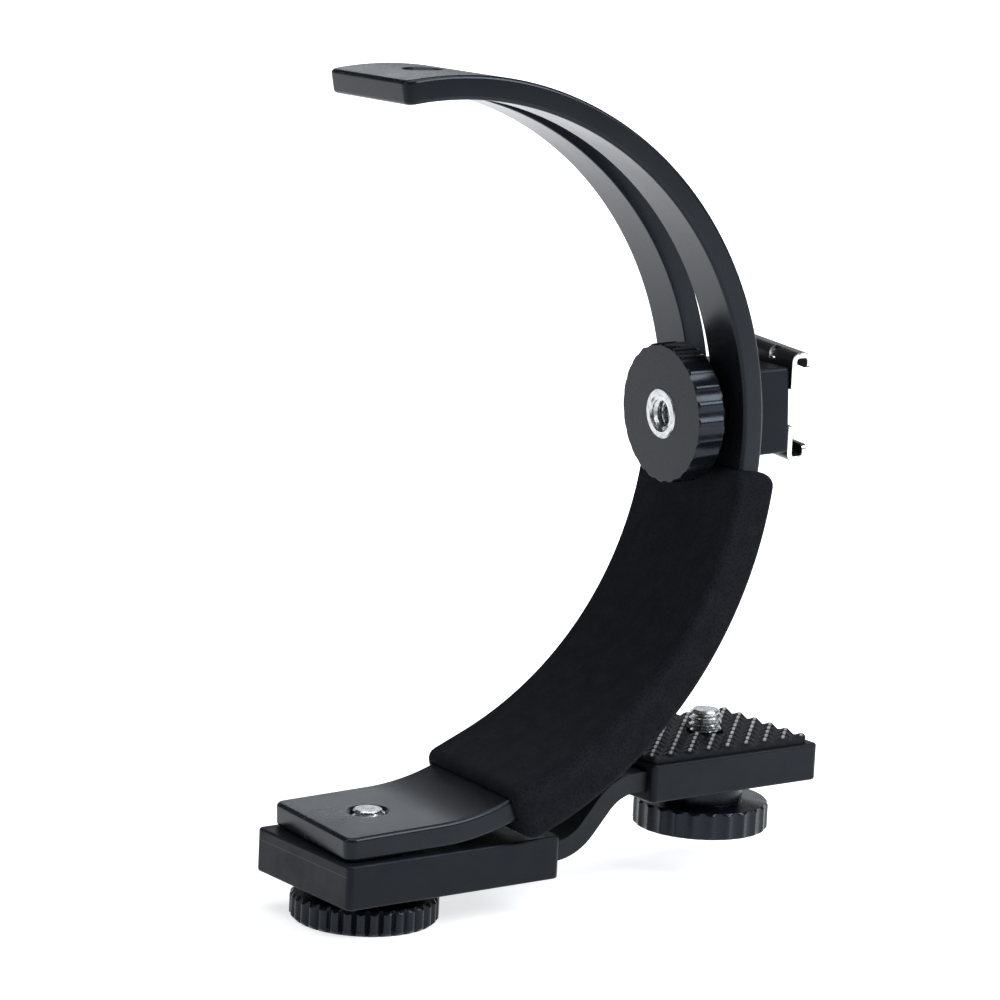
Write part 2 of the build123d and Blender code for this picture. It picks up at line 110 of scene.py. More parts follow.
def camera_place():
    """Matrix that stands local +Z on the camera screw's axis."""
    return Matrix.Translation((CAMERA_AXIS.x, CAMERA_AXIS.y, 0)) @ BASE_TURN


# Properties


def length(name, description, millimetres):
    """A length property whose default is given in millimetres."""
    return bpy.props.FloatProperty(
        name=name, description=description, default=millimetres * MM,
        unit="LENGTH", subtype="DISTANCE", precision=5,
    )


def angle(name, description, degrees):
    """An angle property whose default is given in degrees."""
    return bpy.props.FloatProperty(
        name=name, description=description, default=math.radians(degrees), subtype="ANGLE"
    )


def amount(name, description, value):
    """A plain number that can't fall below zero."""
    return bpy.props.FloatProperty(name=name, description=description, default=value, min=0.0)


def colour(name, description, value):
    """A linear colour property."""
    return bpy.props.FloatVectorProperty(
        name=name, description=description, default=value, subtype="COLOR", size=3,
        min=0.0, max=1.0,
    )


def count(name, description, value):
    """A whole number property."""
    return bpy.props.IntProperty(name=name, description=description, default=value, min=1)


def share(name, description, value):
    """A number from 0 to 1."""
    return bpy.props.FloatProperty(
        name=name, description=description, default=value, subtype="FACTOR", min=0.0, max=1.0
    )


class BracketArmSizes(bpy.types.PropertyGroup):
    """Sizes of the curved arm."""

    width: length("Width", "Width of the flat bar", 28.8)
    thickness: length("Thickness", "Thickness of the flat bar", 4.4)
    crown_radius: length("Crown radius", "Middle radius of the upper arc", 64.45)
    heel_radius: length("Heel radius", "Middle radius of the lower arc", 69.4)
    bend_radius: length("Foot bend radius", "Middle radius of the bend into the foot", 45.0)
    straight: length("Straight", "Straight between the lower arc and the foot's bend", 6.95)
    foot: length("Foot", "Flat length of the foot", 19.5)
    foot_tilt: angle("Foot tilt", "Rise of the foot towards its bend", 3.0)
    foot_hole: length("Foot hole", "From the foot's end to its hole", 12.0)
    crown_angle: angle("Crown angle", "Angle of the crown's end above the arc's centre", 101.2)
    heel_angle: angle("Heel angle", "Angle that the lower arc turns through", 65.0)
    corner: length("Corner", "Plan radius of the bar's corners", 2.0)
    edge: length("Edge", "Rounding of the bar's rims", 0.75)
    slot_width: length("Slot width", "Width of the arc slot", 7.3)
    slot_edge: length("Slot edge", "Rounding of the slot's rims", 0.25)
    slot_low: angle("Slot low end", "Angle of the slot's lower round end", 0.61)
    slot_high: angle("Slot high end", "Angle of the slot's upper round end", 76.5)
    crown_hole: length("Crown hole", "From the top of the arc to the crown's hole", 1.5)
    hole_radius: length("Hole radius", "Radius of the crown's tapped hole", 3.235)
    foot_hole_radius: length("Foot hole radius", "Radius of the foot's hole", 3.4)
    hole_chamfer: length("Hole chamfer", "Chamfer of the tapped holes' mouths", 0.6)
    stride: length("Stride", "Length of one step along the bent bar", 1.1)


class BracketGripSizes(bpy.types.PropertyGroup):
    """Sizes of the foam grip."""

    top: angle("Top", "Angle of the upper end below the arc's centre", 5.2)
    side: length("Side", "Foam on the arm's sides", 2.4)
    palm: length("Palm", "Foam on the arm's inner face", 1.65)
    back_high: length("Back, high", "Foam on the outer face at the upper end", 2.4)
    back_low: length("Back, low", "Foam on the outer face at the lower end", 4.3)
    run_on: length("Run on", "Foam past the end of the straight", 2.0)
    gap: length("Gap", "Gap between the foam and the arm", 0.1)
    edge: length("Edge", "Rounding of the long edges", 1.6)
    end_edge: length("End edge", "Rounding of the two ends", 1.5)
    back_end_edge: length("Back end edge", "Rounding of the ends on the outer face", 2.3)
    growth: amount("Growth", "Power by which the outer face thickens downwards", 2.25)
    around: count("Around", "Points round the foam", 96)
    stride: length("Stride", "Length of one step along the foam", 0.75)


class BracketKnobSizes(bpy.types.PropertyGroup):
    """Sizes of the two scalloped knobs and the toothed one."""

    radius: length("Radius", "Radius of a scalloped knob", 13.2)
    camera_rim: length("Camera rim", "Height of the camera knob's rim", 5.2)
    shoe_rim: length("Shoe rim", "Height of the shoe knob's rim", 5.8)
    flutes: count("Flutes", "Number of flutes round a scalloped knob", 24)
    flute_radius: length("Flute radius", "Radius of each hollow flute", 3.2)
    flute_depth: length("Flute depth", "Depth of each flute", 0.45)
    face_edge: length("Face edge", "Bevel of the knob's face", 0.3)
    back_edge: length("Back edge", "Bevel of the knob's back", 0.5)
    camera_hub: length("Camera hub", "Radius of the camera knob's hub", 8.0)
    camera_hub_height: length("Camera hub height", "Height of that hub", 4.0)
    shoe_hub: length("Shoe hub", "Radius of the shoe knob's hub", 8.0)
    shoe_hub_height: length("Shoe hub height", "Height of that hub, just off its washer", 1.79)
    dish: length("Dish", "Radius of the hollow in the camera knob's face", 8.6)
    dish_depth: length("Dish depth", "Depth of that hollow", 0.6)
    insert: length("Insert", "Radius of the threaded bush", 4.8)
    insert_edge: length("Insert edge", "Bevel of the bush's rim", 0.25)
    proud: length("Proud", "Height of the bush above the knob's face", 0.2)
    fillet: length("Fillet", "Rounding of the hubs and the hollow", 0.2)
    clamp_radius: length("Clamp radius", "Radius of the toothed knob", 13.75)
    clamp_rim: length("Clamp rim", "Height of the toothed rim", 4.8)
    clamp_hub: length("Clamp hub", "Radius of the toothed knob's hub", 9.5)
    clamp_top: length("Clamp top", "Height of the toothed knob with its hub", 5.7)
    clamp_edge: length("Clamp edge", "Bevel of the toothed rim", 0.7)
    hex_proud: length("Hex", "Height of the stud's hex above the toothed rim", 0.6)
    teeth: count("Teeth", "Number of teeth round the clamp knob", 34)
    tooth_radius: length("Tooth radius", "Radius of each round tooth", 1.02)
    tooth_depth: length("Tooth depth", "Depth between the teeth", 0.9)


class BracketThreadSizes(bpy.types.PropertyGroup):
    """Sizes of the camera thread and its bolts."""

    radius: length("Radius", "Outside radius of the thread", 3.175)
    pitch: length("Pitch", "Height of one turn", 1.27)
    depth: length("Depth", "Depth of the thread", 0.7)
    chamfer: length("Chamfer", "Chamfer of the screw's end", 0.7)
    hex_across: length("Across flats", "Size of the bolts' hex", 11.1)
    hex_height: length("Hex height", "Height of the camera bolt's head", 4.2)
    neck: length("Neck", "Radius of the camera screw's neck", 2.5)
    neck_top: length("Neck top", "From the pad's top down to the end of the neck", 0.3)
    bore: length("Bore", "Radius of the knobs' holes for the bolts", 3.475)
    seat_gap: length("Seat gap", "Gap round a bolt's hex", 0.02)
    socket: length("Socket", "Depth of the tripod socket", 5.0)
    socket_edge: length("Socket edge", "Chamfer of the tripod socket's mouth", 0.3)
    hex_edge: length("Hex edge", "Chamfer of a hex's corners", 0.3)


class BracketColours(bpy.types.PropertyGroup):
    """Tones of the finishes, most of which drift between two."""

    paint: colour("Paint", "Arm's paint", (0.0044, 0.0052, 0.0072))
    paint_light: colour("Light paint", "Lighter clouds in it", (0.0066, 0.0075, 0.0098))
    # Tone of the scuffs round the stud, partly real wear and partly a painted bluish reflection
    scuff_and_reflection: colour("Scuff", "Scuffs round the stud", (0.09, 0.1, 0.13))
    foam: colour("Foam", "Foam of the grip", (0.0062, 0.0065, 0.0084))
    foam_light: colour("Light foam", "Lighter clouds in it", (0.0092, 0.0096, 0.0118))
    pore: colour("Pore", "Open pores of the foam", (0.002, 0.002, 0.0028))
    lint: colour("Lint", "Lint on the foam", (0.03, 0.03, 0.033))
    block: colour("Block", "Plastic of the blocks", (0.004, 0.0048, 0.0066))
    seam: colour("Seam", "Mould's seam on the seat", (0.028, 0.031, 0.036))
    knob: colour("Knob", "Plastic of the knobs", (0.0042, 0.005, 0.0076))
    washer: colour("Washer", "Plastic of the washers", (0.008, 0.008, 0.009))
    rubber: colour("Rubber", "Rubber of the pad", (0.004, 0.004, 0.0048))
    dust: colour("Dust", "Dusty rubber", (0.009, 0.009, 0.0102))
    # Tone of the painted highlight on the pad's tips, light grey on the black rubber
    tip_highlight: colour("Tip", "Rubbed tips of the pad", (0.5, 0.5, 0.51))
    bar: colour("Bar", "Coating of the bar", (0.008, 0.0084, 0.0094))
    bar_light: colour("Light bar", "Lighter clouds in it", (0.013, 0.0134, 0.0146))
    shoe: colour("Shoe", "Paint of the shoe", (0.008, 0.0083, 0.0092))
    shoe_light: colour("Light shoe", "Lighter clouds in it", (0.012, 0.0123, 0.0133))
    bare: colour("Bare metal", "Cut edges of the shoe", (0.72, 0.71, 0.69))
    nickel: colour("Nickel", "Plating of the screws", (0.66, 0.67, 0.68))
    stain: colour("Stain", "Stains on the plating", (0.48, 0.49, 0.5))
    spring: colour("Spring steel", "Retaining ring", (0.3, 0.3, 0.31))
    oil: colour("Oil", "Oily patches on the ring", (0.18, 0.18, 0.19))


class BracketStageSizes(bpy.types.PropertyGroup):
    """Camera, floor and lights."""

    lens: bpy.props.FloatProperty(
        name="Lens", description="Focal length of the camera", default=132.13,
        unit="CAMERA",
    )
    eye: bpy.props.FloatVectorProperty(
        name="Eye", description="Place of the camera", subtype="TRANSLATION", unit="LENGTH",
        default=(-0.32093, -0.56375, 0.19509),
    )
    forward: bpy.props.FloatVectorProperty(
        name="Forward", description="Way the camera looks", subtype="DIRECTION",
        default=(0.51463638, 0.83897943, -0.17681321),
    )
    up: bpy.props.FloatVectorProperty(
        name="Up", description="Up in the picture", subtype="DIRECTION",
        default=(0.05059163, 0.17614529, 0.98306324),
    )
    sky: amount("Sky", "Brightness of the dark studio around", 0.04)
    glow: amount("Glow", "Light that the floor gives off by itself at its brightest", 1.5)
    left_glow: share("Left glow", "Share of that light on the floor's left side", 0.22)
    near_glow: share("Near glow", "Share of that light behind the camera", 0.3)
    corner_glow: share("Corner glow", "Share of that light left of there", 0.05)
    overhead: amount("Overhead", "Strength of the wide light above", 2.0)
    backdrop: amount("Backdrop", "Power of the bright strip behind", 10.0)
    lower_backdrop: amount("Lower backdrop", "Power of the dim panel below that", 3.0)
    softbox: amount("Softbox", "Power of the square light in front", 9.5)
    side_card: amount("Side card", "Power of the dim light on the left", 1.5)
    floor_size: length("Floor size", "Half the floor's side", 14000.0)
    floor_colour: colour("Floor", "Colour of the floor", (0.6, 0.6, 0.6))


class BracketSettings(bpy.types.PropertyGroup):
    """All settings of the flash bracket."""

    arm: bpy.props.PointerProperty(type=BracketArmSizes)
    grip: bpy.props.PointerProperty(type=BracketGripSizes)
    knobs: bpy.props.PointerProperty(type=BracketKnobSizes)
    thread: bpy.props.PointerProperty(type=BracketThreadSizes)
    colours: bpy.props.PointerProperty(type=BracketColours)
    stage: bpy.props.PointerProperty(type=BracketStageSizes)


# Shader maths


def sums(operation, swapped=False):
    """Method of a signal that adds the math node for one Python operator."""

    def method(self, other=None):
        pair = (other, self) if swapped else (self, other)
        return self.finish.node("ShaderNodeMath", {"operation": operation}, *pair)

    return method


class Signal:
    """A shader socket whose sums are written as Python expressions."""

    def __init__(self, finish, socket):
        self.finish = finish
        self.socket = socket

    __add__ = sums("ADD")
    __radd__ = sums("ADD", swapped=True)
    __sub__ = sums("SUBTRACT")
    __rsub__ = sums("SUBTRACT", swapped=True)
    __mul__ = sums("MULTIPLY")
    __rmul__ = sums("MULTIPLY", swapped=True)
    __truediv__ = sums("DIVIDE")
    __pow__ = sums("POWER")
    __abs__ = sums("ABSOLUTE")
    fraction = sums("FRACT")

    def step(self, low, high):
        """0 below low and 1 above high, smooth between them."""
        settings = {"interpolation_type": "SMOOTHSTEP", "clamp": True}
        return self.finish.node("ShaderNodeMapRange", settings, self, low, high, 0.0, 1.0)


class Finish:
    """One material, built node by node around a Principled shader."""

    def __init__(self, name, **constants):
        self.material = bpy.data.materials.new(name)
        self.material.use_nodes = True
        self.tree = self.material.node_tree
        self.tree.nodes.clear()
        self.shader = self.tree.nodes.new("ShaderNodeBsdfPrincipled")
        output = self.tree.nodes.new("ShaderNodeOutputMaterial")
        self.tree.links.new(self.shader.outputs["BSDF"], output.inputs["Surface"])
        self.feed(**constants)

    def plug(self, value, target):
        """Links a signal to a socket, or sets the socket's value."""
        if isinstance(value, Signal):
            self.tree.links.new(value.socket, target)
        elif value is not None:
            target.default_value = value

    def node(self, kind, settings, *values, output=0, **named):
        """Adds a node, sets it, feeds its sockets and gives one output as a signal."""
        made = self.tree.nodes.new(kind)
        for key, value in settings.items():
            setattr(made, key, value)
        for index, value in enumerate(values):
            self.plug(value, made.inputs[index])
        for key, value in named.items():
            self.plug(value, made.inputs[key])
        return Signal(self, made.outputs[output])

    def feed(self, **values):
        """Feeds or sets the shader's own sockets."""
        for key, value in values.items():
            self.plug(value, self.shader.inputs[key.replace("_", " ")])

    def place(self, stretch=(1, 1, 1), move=(0, 0, 0), turn=(0, 0, 0)):
        """Object coordinates, moved, turned and stretched."""
        coordinates = self.node("ShaderNodeTexCoord", {}, output="Object")
        return self.node(
            "ShaderNodeMapping", {"vector_type": "POINT"},
            Vector=coordinates, Location=move, Rotation=turn, Scale=stretch,
        )

    def split(self, vector):
        """The three parts of a vector."""
        first = self.node("ShaderNodeSeparateXYZ", {}, vector)
        return [Signal(self, part) for part in first.socket.node.outputs]

    def facing(self):
        """The three parts of the way that the flat face looks."""
        return self.split(self.node("ShaderNodeNewGeometry", {}, output="True Normal"))

    def cloud(self, grain, vector=None, detail=3.0):
        """Noise whose blobs are about one grain across."""
        vector = vector or self.place()
        return self.node(
            "ShaderNodeTexNoise", {"noise_dimensions": "3D"},
            Vector=vector, Scale=1.0 / grain, Detail=detail, Roughness=0.55,
        )

    def cells(self, grain):
        """Distances to scattered points about one grain apart."""
        return self.node(
            "ShaderNodeTexVoronoi", {"feature": "F1"}, Vector=self.place(), Scale=1.0 / grain
        )

    def mix(self, factor, first, second):
        """Blends two colours, which the node takes behind its number and vector sockets."""
        pair = [tone if isinstance(tone, Signal) else (*tone, 1.0) for tone in (first, second)]
        others = [None] * 5
        settings = {"data_type": "RGBA"}
        return self.node("ShaderNodeMix", settings, factor, *others, *pair, output=2)

    def bump(self, height, distance, strength=1.0, below=None):
        """A normal raised by a height from 0 to 1, as deep as the distance."""
        return self.node(
            "ShaderNodeBump", {},
            Strength=strength, Distance=distance, Height=height, Normal=below,
        )


# Mesh helpers


def rounded(points, steps=4):
    """Polyline whose points may carry a third value, the radius that rounds them."""
    path = []
    for index, point in enumerate(points):
        here = Vector(point[:2])
        radius = point[2] if len(point) > 2 else 0.0
        if not radius:
            path.append(here)
            continue
        before = (Vector(points[index - 1][:2]) - here).normalized()
        after = (Vector(points[index + 1][:2]) - here).normalized()
        half = before.angle(after) / 2
        middle = here + (before + after).normalized() * (radius / math.sin(half))
        start = here + before * (radius / math.tan(half)) - middle
        turn = start.angle_signed(here + after * (radius / math.tan(half)) - middle)
        for step in range(steps + 1):
            spun = Matrix.Rotation(-turn * step / steps, 2) @ start
            path.append(middle + spun)
    return path


def skin(rings, around):
    """Mesh through closed rings, each a function from a share of a turn to a point."""
    mesh = bmesh.new()
    index = mesh.verts.layers.int.new("place")
    bmesh.ops.create_circle(mesh, cap_ends=False, segments=around, radius=1.0)
    for number, vertex in enumerate(mesh.verts):
        vertex[index] = number
    verts = list(mesh.verts)
    edges = list(mesh.edges)
    for number, ring in enumerate(rings):
        if number:
            grown = bmesh.ops.extrude_edge_only(mesh, edges=edges)["geom"]
            verts = [item for item in grown if isinstance(item, bmesh.types.BMVert)]
            fresh = set(verts)
            edges = [
                item for item in grown
                if isinstance(item, bmesh.types.BMEdge) and set(item.verts) <= fresh
            ]
        for vertex in verts:
            vertex.co = ring(vertex[index] / around)
    bmesh.ops.remove_doubles(mesh, verts=mesh.verts, dist=WELD)
    bmesh.ops.recalc_face_normals(mesh, faces=mesh.faces)
    return mesh


def turned(outline, around, shape):
    """Lathe work round Z, whose radius a shape function may change."""

    def ring(radius, height):
        def point(part):
            spin = part * math.tau
            reach = shape(part, radius, height)
            return Vector((reach * math.cos(spin), reach * math.sin(spin), height))

        return point

    return skin([ring(radius, height) for radius, height in outline], around)


def fluted(radius, flutes, flute_radius, depth):
    """Radius of a knob with hollow flutes, at a share of a turn."""
    away = radius - depth + flute_radius

    def reach(part):
        offset = (part * flutes % 1.0 - 0.5) / flutes * math.tau
        across = away * math.sin(offset)
        if abs(across) >= flute_radius:
            return radius
        return min(radius, away * math.cos(offset) - math.sqrt(flute_radius**2 - across**2))

    return reach


def toothed(radius, teeth, tooth_radius, depth):
    """Radius of a knob with round teeth, at a share of a turn."""
    away = radius - tooth_radius

    def reach(part):
        offset = (part * teeth % 1.0 - 0.5) / teeth * math.tau
        across = away * math.sin(offset)
        if abs(across) >= tooth_radius:
            return radius - depth
        hill = away * math.cos(offset) + math.sqrt(tooth_radius**2 - across**2)
        return max(radius - depth, hill)

    return reach


def thread_wave(part, height, pitch):
    """Depth share of a thread, 0 on its crest and 1 in its root."""
    phase = (height / pitch - part) % 1.0
    slope = abs(phase - 0.5) * 2
    return min(1.0, max(0.0, (slope - CREST) / FLANKS))


def hexagon(across, part=0.0):
    """Radius of a hexagon at a share of a turn, which starts at a corner."""
    offset = (part * 6 % 1.0 - 0.5) / 6 * math.tau
    return across / 2 / math.cos(offset)


def mark_sharp(mesh):
    """Smooths the faces and marks the edges that stay sharp."""
    for face in mesh.faces:
        face.smooth = True
    for edge in mesh.edges:
        if len(edge.link_faces) == 2 and edge.calc_face_angle(0.0) > SHARP:
            edge.smooth = False


def smooth_by_area(made):
    """Lets the larger faces set the shading of a rounded edge."""
    weighted = made.modifiers.new("Weighted normals", "WEIGHTED_NORMAL")
    weighted.keep_sharp = True


def piece(name, mesh, make, body, node, place=None):
    """Turns a bmesh into a piece that stands for a node and rides on its body."""
    if place is not None:
        mesh.transform(place)
    mark_sharp(mesh)
    data = bpy.data.meshes.new(name)
    mesh.to_mesh(data)
    mesh.free()
    made = bpy.data.objects.new(name, data)
    bpy.context.scene.collection.objects.link(made)
    data.materials.append(finish_of(make))
    smooth_by_area(made)
    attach(made, body)
    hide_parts(node)
    return made


def dress(node, make, edge):
    """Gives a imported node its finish, smooth shading and softened edges."""
    made = frame["nodes"][node]
    made.data.materials.clear()
    made.data.materials.append(finish_of(make))
    made.data.polygons.foreach_set("use_smooth", [True] * len(made.data.polygons))
    weld = made.modifiers.new("Weld", "WELD")
    weld.merge_threshold = WELD
    rounding = made.modifiers.new("Bevel", "BEVEL")
    rounding.width = edge
    rounding.segments = 2
    rounding.limit_method = "ANGLE"
    rounding.angle_limit = ROUNDED
    rounding.use_clamp_overlap = True
    split = made.modifiers.new("Edge split", "EDGE_SPLIT")
    split.split_angle = SHARP
    smooth_by_area(made)


# Finishes


# Bluish tint of the studio's light in dark gloss
COOL = (0.78, 0.88, 1.0, 1.0)

# The pairs below are limits between which something fades in or out

# Scuffs on the foot, partly a painted bluish reflection: how far left of the stud's axis their
# middle lies, and how they fade with the distance from there, with the height and with the
# noise that breaks them up
SCUFF_AND_REFLECTION_LEFT = 3 * MM
SCUFF_AND_REFLECTION_REACH = (2 * MM, 11 * MM)
SCUFF_AND_REFLECTION_HEIGHT = (19 * MM, 22 * MM)
SCUFF_AND_REFLECTION_NOISE = (0.45, 0.75)

# Open pores as distances from their middle, and lint as the peaks of its noise
PORE = (0.12, 0.5)
LINT = (0.74, 0.8)

# How much lighter than its tone the clouds in moulded plastic are
LIGHTER = 1.35

# Mould's seam: how far it lies below the top of the seat, half its width, and how far to
# the left a face has to look to show it
SEAM_DROP = 2.1 * MM
SEAM_WIDTH = (0.06 * MM, 0.16 * MM)
SEAM_LEAN = (-0.9, -0.8)

# Rows of pad tips that carry a painted highlight: their distance, half their width as a share of
# that, and the depths below the pad's top between which the painted highlight fades in
TIP_ROWS = 3.3 * MM
TIP_WIDTH = (0.05, 0.12)
TIP_DEPTH = (0.5 * MM, 0.2 * MM)

# How far to the front or back a face of the shoe has to look to be bare metal
BARE_LEAN = (0.78, 0.88)

# Materials made so far, by the names of their functions
MADE = {}


def finish_of(make):
    """The material of a finish function, made once."""
    if make.__name__ not in MADE:
        MADE[make.__name__] = make(bpy.context.scene.bracket.colours)
    return MADE[make.__name__]


def drift(finish, grain, low=0.3, high=0.7):
    """Soft clouds that drift from 0 to 1 and back."""
    return finish.cloud(grain, detail=4.0).step(low, high)


def smudged(finish, low, high, grain):
    """Roughness that drifts between two values in soft smudges."""
    return low + drift(finish, grain, 0.35) * (high - low)


def arm_paint(tones):
    """Satin black paint with a fine orange peel, scuffed round the stud, partly as a painted
    reflection.
    """
    finish = Finish("arm_paint", Specular_IOR_Level=0.27, Specular_Tint=COOL)
    x, y, z = finish.split(finish.place())
    left = x + SCUFF_AND_REFLECTION_LEFT
    near = 1.0 - ((left * left + y * y) ** 0.5).step(*SCUFF_AND_REFLECTION_REACH)
    low = 1.0 - z.step(*SCUFF_AND_REFLECTION_HEIGHT)
    scuff_and_reflection_noise = finish.cloud(2.2 * MM, finish.place(stretch=(1, 2, 1), turn=(0, 0, 0.5)), 5.0)
    # Scuffs, lightened partly as a painted bluish reflection round the stud
    scuff_and_reflection = scuff_and_reflection_noise.step(*SCUFF_AND_REFLECTION_NOISE) * near * low
    peel = finish.cloud(0.35 * MM, detail=2.0)
    base = finish.mix(drift(finish, 9 * MM), tones.paint, tones.paint_light)
    finish.feed(
        Base_Color=finish.mix(scuff_and_reflection, base, tones.scuff_and_reflection),
        Roughness=smudged(finish, 0.25, 0.29, 14 * MM) + scuff_and_reflection * 0.06,
        Normal=finish.bump(peel, 0.004 * MM),
    )
    return finish.material


def foam(tones):
    """Matte black foam with open pores and a little lint."""
    finish = Finish("foam", Specular_IOR_Level=0.12, Specular_Tint=COOL)
    pores = finish.cells(0.42 * MM)
    fine = finish.cloud(0.16 * MM)
    soft = finish.cloud(3.5 * MM)
    lint = finish.cloud(0.3 * MM, detail=1.0).step(*LINT)
    pit = 1.0 - pores.step(*PORE)
    base = finish.mix(soft.step(0.3, 0.7), tones.foam, tones.foam_light)
    base = finish.mix(pit, base, tones.pore)
    rise = finish.bump(soft, 0.12 * MM, 0.6)
    finish.feed(
        Base_Color=finish.mix(lint * 0.4, base, tones.lint),
        Roughness=0.88 + fine * 0.12,
        Normal=finish.bump(fine * 0.6 - pit * 0.8, 0.07 * MM, 0.9, rise),
    )
    return finish.material


def moulded(name, tone, rough, shine=0.18, grain=0.3 * MM, depth=0.012 * MM, seam=None):
    """Moulded plastic with a fine grain and faint smears, and a seam as height and tone."""
    finish = Finish(name, Specular_IOR_Level=shine, Specular_Tint=COOL)
    grit = finish.cloud(grain)
    base = finish.mix(drift(finish, 7 * MM), tone, [part * LIGHTER for part in tone])
    if seam:
        height, light = seam
        off = abs(finish.split(finish.place())[2] - height)
        left_side = 1.0 - finish.facing()[0].step(*SEAM_LEAN)
        base = finish.mix((1.0 - off.step(*SEAM_WIDTH)) * left_side, base, light)
    finish.feed(
        Base_Color=base,
        Roughness=smudged(finish, rough, rough + 0.1, 4 * MM) + grit * 0.05,
        Normal=finish.bump(grit, depth),
    )
    return finish.material


def block_plastic(tones):
    """Moulded plastic of the platform's sleeve and the shoe's block."""
    return moulded("block_plastic", tones.block, 0.38, grain=0.22 * MM)


def seat_plastic(tones):
    """The same plastic on the seat, whose left end shows the mould's seam."""
    seam = (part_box("seat_block")[1].z - SEAM_DROP, tones.seam)
    return moulded("seat_plastic", tones.block, 0.38, grain=0.22 * MM, seam=seam)


def knob_plastic(tones):
    """Half gloss plastic of the knobs."""
    return moulded(
        "knob_plastic", tones.knob, 0.2, shine=0.26, grain=0.5 * MM, depth=0.004 * MM
    )


def washer_plastic(tones):
    """Matte black washer stock."""
    return moulded("washer_plastic", tones.washer, 0.5)


def nickel(tones):
    """Bright nickel plate with faint stains and fine marks."""
    finish = Finish("bright_nickel")
    stain = drift(finish, 0.9 * MM, 0.35, 0.75)
    marks = finish.cloud(0.12 * MM, detail=4.0)
    finish.feed(
        Base_Color=finish.mix(stain, tones.nickel, tones.stain),
        Metallic=1.0 - stain * 0.04,
        Roughness=0.16 + marks * 0.16 + stain * 0.08,
        Normal=finish.bump(marks, 0.008 * MM),
    )
    return finish.material


def pad_rubber(tones):
    """Black rubber with a painted highlight on its rows of tips along one diagonal."""
    finish = Finish("pad_rubber", Specular_IOR_Level=0.16, Specular_Tint=COOL)
    low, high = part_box("platform_pad")
    turn = -BASE_TURN.to_euler().z - math.pi / 4
    middle = Matrix.Rotation(turn, 3, "Z") @ ((low + high) / 2)
    place = finish.place(move=(-middle.x, -middle.y, 0), turn=(0, 0, turn))
    across, height = finish.split(place)[1:]
    # Painted highlight: light grey on the tips of rows along one diagonal, varied by the dust
    # clouds
    row = abs((across / TIP_ROWS).fraction() - 0.5).step(*TIP_WIDTH)
    tip_highlight = height.step(*(high.z - depth for depth in TIP_DEPTH)) * (1.0 - row)
    grit = finish.cloud(0.14 * MM)
    dust = drift(finish, 1.6 * MM, 0.4, 0.75)
    base = finish.mix(dust, tones.rubber, tones.dust)
    finish.feed(
        Base_Color=finish.mix(tip_highlight * (0.6 + dust * 0.4), base, tones.tip_highlight),
        Roughness=0.46 + grit * 0.2 - tip_highlight * 0.1,
        Normal=finish.bump(grit, 0.02 * MM),
    )
    return finish.material


def bar_steel(tones):
    """Dark coated steel with faint rolling marks along the bar."""
    finish = Finish("bar_steel", Specular_IOR_Level=0.2, Specular_Tint=COOL)
    lines = finish.cloud(0.4 * MM, finish.place(stretch=(0.06, 1, 1)), 4.0)
    finish.feed(
        Base_Color=finish.mix(drift(finish, 5 * MM), tones.bar, tones.bar_light),
        Roughness=0.36 + lines * 0.12,
        Normal=finish.bump(lines, 0.015 * MM),
    )
    return finish.material


def shoe_paint(tones):
    """Black paint on folded sheet whose cut edges are bare."""
    finish = Finish("shoe_paint")
    wear = finish.cloud(0.8 * MM, detail=4.0)
    bare = (abs(finish.facing()[1]) + wear * 0.25 - 0.1).step(*BARE_LEAN)
    clouds = finish.cloud(4 * MM).step(0.3, 0.7)
    paint = finish.mix(clouds, tones.shoe, tones.shoe_light)
    finish.feed(
        Base_Color=finish.mix(bare, paint, tones.bare),
        Metallic=bare,
        Roughness=0.28 + wear * 0.1 - bare * 0.06,
        Normal=finish.bump(wear, 0.012 * MM),
    )
    return finish.material


def spring_steel(tones):
    """Oiled spring steel."""
    finish = Finish("spring_steel")
    stain = drift(finish, 0.7 * MM, high=0.75)
    finish.feed(
        Base_Color=finish.mix(stain, tones.spring, tones.oil),
        Metallic=1.0 - stain * 0.1,
        Roughness=0.28 + stain * 0.15,
    )
    return finish.material


# Arm and grip


